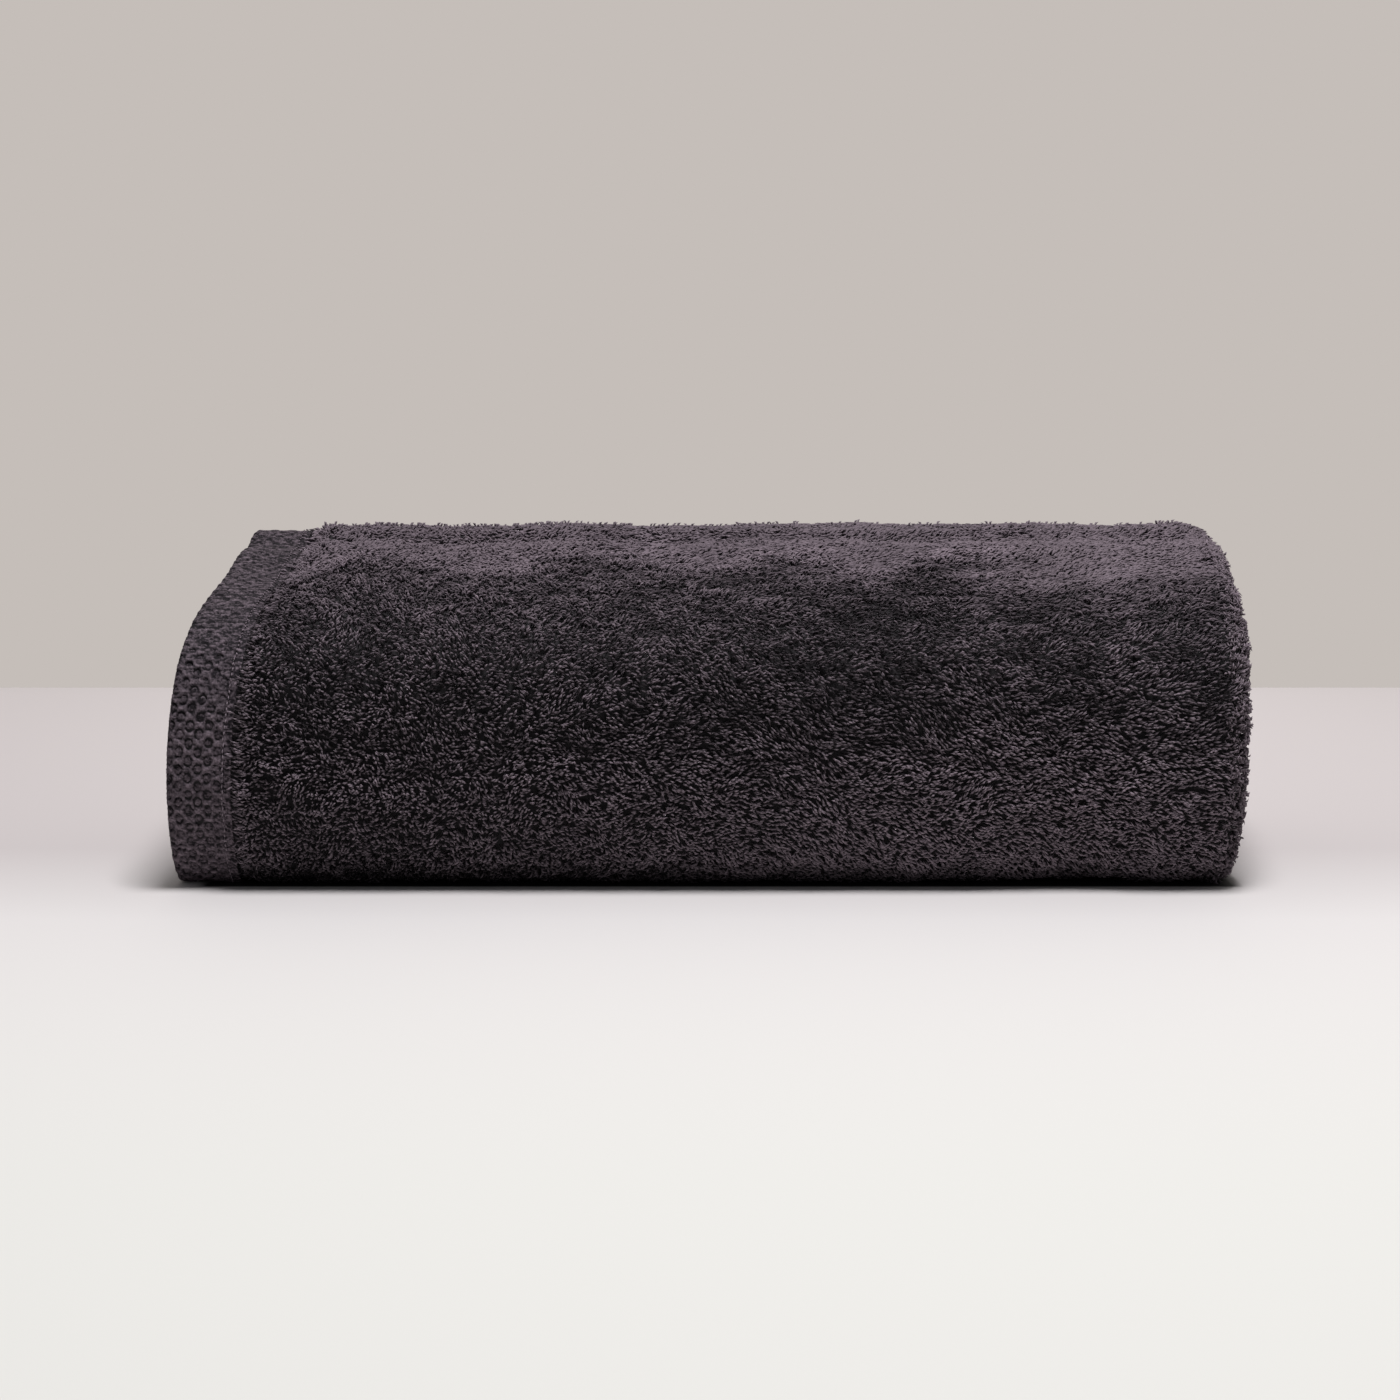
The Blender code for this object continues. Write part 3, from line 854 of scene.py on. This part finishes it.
# What each quality of the pile does to a yarn: to its rise, as a share of the pile's height, to its reach
# along the cloth and to its tone
EFFECT_COLUMNS = ("quality", "rise", "reach_mm", "tone")
EFFECTS = (
    ("everywhere", 0.98, 1.9, 0.45),
    ("lying over", -0.2, 1.4, 0),
    # the smoothed top's tone is painted light
    ("smoothed", -0.1, 0.8, 0.06),
    ("beside the band", -0.3, 0, 0.1),
    ("beside the band below the top", 0, 1.6, 0),
    ("flattened on the crest", -0.3, 0, 0),
    ("bristling on the crest", 0.3, -2.6, 0),
    ("wave of the crest", 1, 0, 0),
    ("astray on the crest", 0.3, -2, 0),
    # the tufts' tone is painted shade: the lower a yarn stands, the darker it is
    ("tufted", 0.4, 0, 0.28),
    ("tufted where it is steep", 0.2, 0, 0.15),
    ("tufted where it is smoothed", -0.3, 0, -0.25),
    ("swaths round the roll", 0, 0, 0.1),
    ("upright swaths at the right", 0, 0, 0.12),
    # painted light: the pile at the right, where it is not smoothed, is lighter
    ("rough at the right", 0, 0, 0.3),
    # painted shade on the steep upper front, stronger at the right
    ("steep", 0, 0, -0.3),
    ("steep at the right", 0, 0, -0.38),
    ("shaded by the floor", 0, 0, -0.9),
    # painted shade at the foot of the roll
    ("low down", 0, 0, -0.16),
)


def pile_qualities(turn, x, from_band, height):
    """How strongly each quality of the pile holds at each yarn, from 0 to 1, or from -1 to 1 for the tufts,
    the swaths and the wave, which are noise."""
    place = turn * TURN_LENGTH
    front = turn > FRONT_TURN
    wandering = turn + 0.035 * soft_noise(x, place, 26 * MM, 26) + 0.012 * soft_noise(x, place, 7 * MM, 27)
    right = risen(x, RIGHT_BEGINS)
    top = risen(turn, TOP_BEGINS)
    on_top = top * (1 - risen(wandering, TOP_ENDS))
    top_right = top * risen(x, FOLDED_END_BEGINS) * (1 - risen(wandering, TOP_ENDS_FOLDED_END))
    top_left = top * risen(x, HEM_END_BEGINS) * (1 - risen(wandering, TOP_ENDS_HEM_END))
    smoothed = np.maximum(np.maximum(on_top, top_right), top_left)
    lying = np.clip(0.2 + 0.5 * right + 0.5 * smoothed, 0, 1)
    beside = bell(from_band, BESIDE_BAND)
    past_step = from_band - CREST_STEP - 1.5 * MM * soft_noise(x, place, 5 * MM, 20)
    flattened = on_top * (1 - smooth_step(past_step / MM))
    steep = risen(wandering, STEEP_BEGINS) * (1 - risen(turn, STEEP_ENDS)) * (1 - smoothed)
    waved = place + 2.5 * MM * soft_noise(x, place, 13 * MM, 16)
    tufts = soft_noise(x, waved, 2.8 * MM, 13)
    rows = soft_noise(0.35 * x, waved, 2.4 * MM, 17)
    tufted = 0.65 * (tufts + (rows - tufts) * 0.7 * right) + 0.35 * soft_noise(x, place, 8 * MM, 14)
    slanted = x + 6 * MM * soft_noise(x, place, 30 * MM, 22)
    wave = 0.22 * soft_noise(x, 0 * x, 24 * MM, 24) + 0.12 * soft_noise(x, place, 5 * MM, 25)
    return {
        "everywhere": np.ones(len(turn)),
        "right": right,
        "lying over": lying,
        "smoothed": smoothed,
        "unruly": (1 - lying) * (1 - beside),
        "beside the band": beside,
        "beside the band below the top": beside * (1 - on_top),
        "flattened on the crest": flattened,
        "bristling on the crest": on_top * bell(past_step - 1.5 * MM, 2 * MM),
        "free on the crest": on_top * (1 - flattened),
        "wave of the crest": on_top * (1 - flattened) * wave,
        "tufted": tufted,
        "tufted where it is steep": tufted * steep,
        "tufted where it is smoothed": tufted * smoothed,
        "swaths round the roll": (0.6 * soft_noise(x, 0.35 * place, 20 * MM, 18)
                                  + 0.4 * soft_noise(x, place, 11 * MM, 19)),
        "upright swaths at the right": right * soft_noise(slanted, 0.2 * place, 22 * MM, 23),
        "rough at the right": right * (1 - smoothed),
        "steep": steep,
        "steep at the right": steep * right,
        "shaded by the floor": bell(height, SHADED_HEIGHT) * front,
        "low down": bell(height, FOOT_SHADE_HEIGHT) * front,
    }


def all_effects(quality, name):
    """Sum of one kind of effect over all the qualities of the pile."""
    weights = column(EFFECTS, EFFECT_COLUMNS, name)
    return sum(weight * quality[row[0]] for weight, row in zip(weights, EFFECTS))


def pile_heading(rng, x, place, quality):
    """Angle in which each yarn lies over, from the line along the roll: swaths, then whorls, then each
    yarn's own, the more so the more unruly the pile is. Some yarns point the other way."""
    beside, unruly = quality["beside the band"], quality["unruly"]
    heading = 0.45 * soft_noise(x, place, 30 * MM, 11)
    heading += (0.4 + 0.95 * unruly) * soft_noise(x, place, 6 * MM, 12)
    heading += rng.normal(0, 1, len(x)) * (0.14 + 0.24 * unruly)
    heading -= 0.3 * quality["right"] * quality["smoothed"]
    heading = heading * (1 - 0.6 * beside) + 0.25 * beside
    turned = (0.2 + 0.3 * unruly) * (1 - beside) + 0.4 * quality["bristling on the crest"]
    return heading + np.pi * (rng.random(len(x)) < turned)


def outer_pile(material):
    """Pile of the outer turn. Towards the hem end it stands up and curls at random; towards the folded end it
    lies over in wavy rows along the roll; beside the band it is combed away from it. On the top it is
    smoothed and painted lighter, down to a wandering edge, with waves and stray yarns on the crest, and
    pressed flat beside the band, up to a bristling step. Its tone also carries painted shade at the roots,
    on the lower yarns, on the steep front and at the foot, and painted light at the right."""
    rng = np.random.default_rng(7)
    turn, share = scattered(rng, *OUTER_YARNS, OUTER_JITTER)
    start = hem_end(turn) + HEM_TIP + BAND_WIDTH
    end = folded_end(turn) - FOLD_GROOVE
    x = start + (end - start) * share
    off_floor = (section_at(turn)[:, 1] > PILE_LOWEST) | (turn < FRONT_TURN)
    keep = (turn > PILE_TURNS[0]) & (turn < PILE_TURNS[1]) & off_floor
    turn, x, start = turn[keep], x[keep], start[keep]
    count = len(turn)

    def surface(a, b):
        return outside_at(a, b, PILE_HEIGHT)

    root, normal, around, along = surface_frame(surface, turn, x, TURN_STEP, MM)
    quality = pile_qualities(turn, x, x - start, root[:, 2])
    smoothed = quality["smoothed"]
    heading = pile_heading(rng, x, turn * TURN_LENGTH, quality)
    flow = unit(along * np.cos(heading)[:, None] + around * np.sin(heading)[:, None])
    stray_share = 0.05 + 0.1 * (1 - quality["right"])
    quality["astray on the crest"] = quality["free on the crest"] * (rng.random(count) < stray_share)
    rise = all_effects(quality, "rise") + rng.uniform(-0.1, 0.1, count) * (1 - 0.6 * smoothed)
    reach = all_effects(quality, "reach_mm") + rng.uniform(-0.6, 0.6, count)
    curl = rng.normal(0, 0.22, count) * MM
    radius = YARN_RADIUS * rng.uniform(0.8, 1.2, count) * (1 + 0.25 * smoothed)
    tone = all_effects(quality, "tone") + (0.15 - 0.1 * smoothed) * rng.normal(0, 1, count)
    root_shade = ROOT_SHADE * (1 - 0.65 * smoothed)
    bent = (rise * PILE_HEIGHT, reach * MM, curl)
    return plant("pile_outer_turn", root, normal, flow, *bent, radius, tone, root_shade, rng, material)


# Seam beside the band

STITCH_TURNS = (0.004, 0.975)
STITCH_PITCH = 2 * MM
STITCH_INSET = 1.5 * MM      # from the pile's edge
STITCH_SURFACE = 0.05 * MM   # how high the stitches start above the band
STITCH_HEIGHT = 0.4 * MM
STITCH_LENGTH = 1.7 * MM
STITCH_RADIUS = 0.3 * MM


def stitch_line(material):
    """Fine seam along the plain strip: short stitches one behind the other."""
    rng = np.random.default_rng(61)
    turn = np.arange(STITCH_TURNS[0], STITCH_TURNS[1], STITCH_PITCH / TURN_LENGTH)
    from_pile = STITCH_INSET - rng.normal(0, 0.08, len(turn)) * MM
    x = hem_end(turn) + HEM_TIP + BAND_WIDTH - from_pile

    def surface(a, b):
        return outside_at(a, b, band_sink(a) - STITCH_SURFACE)

    root, normal, around, along = surface_frame(surface, turn, x, TURN_STEP, MM)
    even = np.ones(len(turn))
    lean = unit(around + along * rng.normal(0, 0.12, len(turn))[:, None])
    # the last two numbers are the stitches' tone and their painted shade towards the root
    return plant("stitch_line", root, normal, lean, even * STITCH_HEIGHT, even * STITCH_LENGTH, even * 0,
                 even * STITCH_RADIUS, even * 0.8, even * 0.3, rng, material)


# Pile of the folds at the two ends

# Yarns along the winding and round the fold, and the degrees of the fold that they cover
FOLDED_END_YARNS = (520, 36)
FOLDED_END_ANGLES = (4, 172)
HEM_END_YARNS = (480, 12)
HEM_END_ANGLES = (0, 180)
END_NOISE_RADIUS = 8 * MM    # turns the angle round a fold into a length for its noise
LOOP_PILE = 2.6 * MM         # pile of the narrow folds at the hem end
LOOP_REACH = 0.27            # half the width of those folds, as a share of the stack
LOOP_INSET = 1.4 * MM        # from their tips to the end of the roll
LOOP_BULGE = 2.5 * MM


def folded_end_at(turn, angle):
    """Root of the pile on the rounded fold at the right end: 0 deg on the outer side, 180 on the inner."""
    inset = -PILE_HEIGHT - FOLD_BULGE * (1 - np.sin(angle))
    share = (1 - np.cos(angle)) / 2 * np.sign(angle)
    return in_stack(turn, root_inset(turn), FLAT_PILE_HEIGHT, share, folded_end, inset)


def hem_fold_at(turn, angle):
    """Root of the pile on the narrow fold at the hem end, from its inner side to its outer side."""
    inset = LOOP_PILE + LOOP_INSET + LOOP_BULGE * (1 - np.sin(angle))
    share = 1 - LOOP_REACH + LOOP_REACH * np.cos(angle)
    return in_stack(turn, LOOP_PILE, LOOP_PILE, share, hem_end, inset)


def even_turns(share):
    """Turns at even steps along the middle line of the stack, from shares of its whole length."""
    twice_middle = section_at(EVERY_TURN) + section_at(EVERY_TURN + 1)
    walked = walked_length(twice_middle)[1:] / 2
    return np.interp(share * walked[-1], walked, EVERY_TURN[1:])


def end_pile(name, surface, yarns, angles, height, seed, material):
    """Pile of the folds at one end, standing up in all directions."""
    rng = np.random.default_rng(seed)
    row, share = scattered(rng, *yarns, 0.5)
    turn = even_turns(row)
    angle = np.radians(angles[0] + (angles[1] - angles[0]) * share)
    root, normal, around, over = surface_frame(surface, turn, angle, TURN_STEP, 0.05)
    count = len(turn)
    walked, round_fold = turn * TURN_LENGTH, angle * END_NOISE_RADIUS
    heading = 2 * np.pi * soft_noise(walked, round_fold, 5 * MM, seed + 1) + rng.normal(0, 0.7, count)
    flow = unit(over * np.cos(heading)[:, None] + around * np.sin(heading)[:, None])
    tufted = soft_noise(walked, round_fold, 3 * MM, seed + 2)
    rise = height * (0.8 + 0.3 * tufted + rng.uniform(-0.2, 0.2, count))
    reach = rng.uniform(1.8, 3.6, count) * MM
    curl = rng.normal(0, 0.5, count) * MM
    radius = YARN_RADIUS * rng.uniform(0.9, 1.3, count)
    # painted shade: the lower tufts are darker, the taller ones lighter
    tone = 0.5 + 0.12 * rng.normal(0, 1, count) + 0.1 * tufted
    root_shade = np.full(count, END_ROOT_SHADE)
    return plant(name, root, normal, flow, rise, reach, curl, radius, tone, root_shade, rng, material)


# Stage, light and camera


def add_floor(material):
    """A pale floor that ends behind the roll, where the wall's tone takes over."""
    floor = mesh_object("floor", np.array(FLOOR_CORNERS) + MIDDLE, np.array([[0, 1, 2, 3]]), material)
    return floor


def add_light():
    """One square light above and a little in front, small enough for clear shadows between the yarns."""
    data = bpy.data.lights.new("overhead", "AREA")
    data.shape = "SQUARE"
    data.size = LIGHT_SIZE
    data.energy = LIGHT_POWER
    data.color = linear(LIGHT_COLOUR)[:3]
    light = bpy.data.objects.new("overhead", data)
    direction = np.array(LIGHT_AIM) - np.array(LIGHT_PLACE)
    light.location = LIGHT_PLACE
    light.rotation_mode = "QUATERNION"
    light.rotation_quaternion = Vector(direction).to_track_quat("-Z", "Y")
    bpy.context.scene.collection.objects.link(light)


def add_surround():
    """Surround that is pale behind the roll and darker in front of it."""
    world = bpy.data.worlds.new("studio")
    bpy.context.scene.world = world
    world.use_nodes = True
    tree = world.node_tree
    where = add_node(tree, "ShaderNodeTexCoord")
    direction = add_node(tree, "ShaderNodeSeparateXYZ", {"Vector": (where, "Generated")})
    ramp = add_ramp(tree, (direction, "Y"), *SURROUND_TONES)
    tree.links.new(ramp.outputs["Color"], tree.nodes["Background"].inputs["Color"])


def add_camera():
    """Camera at the photograph's height, distance and pitch."""
    data = bpy.data.cameras.new("camera")
    data.lens = CAMERA_LENS
    data.sensor_width = CAMERA_SENSOR
    camera = bpy.data.objects.new("camera", data)
    camera.location = CAMERA_PLACE
    camera.rotation_euler = (np.radians(90 - CAMERA_PITCH_DEG), 0, 0)
    bpy.context.scene.collection.objects.link(camera)
    bpy.context.scene.camera = camera


bpy.context.scene.view_settings.view_transform = "Standard"
pile_finish = terry_pile()
shaded_ground_finish = ground_weave()
band_finish = woven_band()
cloth = towel_cloth(shaded_ground_finish)
band = honeycomb_band(band_finish)
outer_hem = hem_edge("outer_hem_inside", BAND_LAST_TURN, HEM_LAST_TURN, 0.0, HEM_TIP, band_finish)
inner_hem = hem_edge("inner_hem", 0.0, HEM_LAST_TURN, 1 / 4, INNER_HEM_TIP, band_finish)
pile = [
    *outer_pile(pile_finish),
    *end_pile("pile_folded_end", folded_end_at, FOLDED_END_YARNS, FOLDED_END_ANGLES, PILE_HEIGHT, 21,
              pile_finish),
    *stitch_line(pile_finish),
    *end_pile("pile_hem_end", hem_fold_at, HEM_END_YARNS, HEM_END_ANGLES, LOOP_PILE, 41, pile_finish),
]
floor = add_floor(pale_stage())
add_surround()
add_light()
add_camera()

dressing = [band, outer_hem, inner_hem, *pile]
for piece in [cloth, *dressing]:
    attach(piece, "root")
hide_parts("towel_roll")
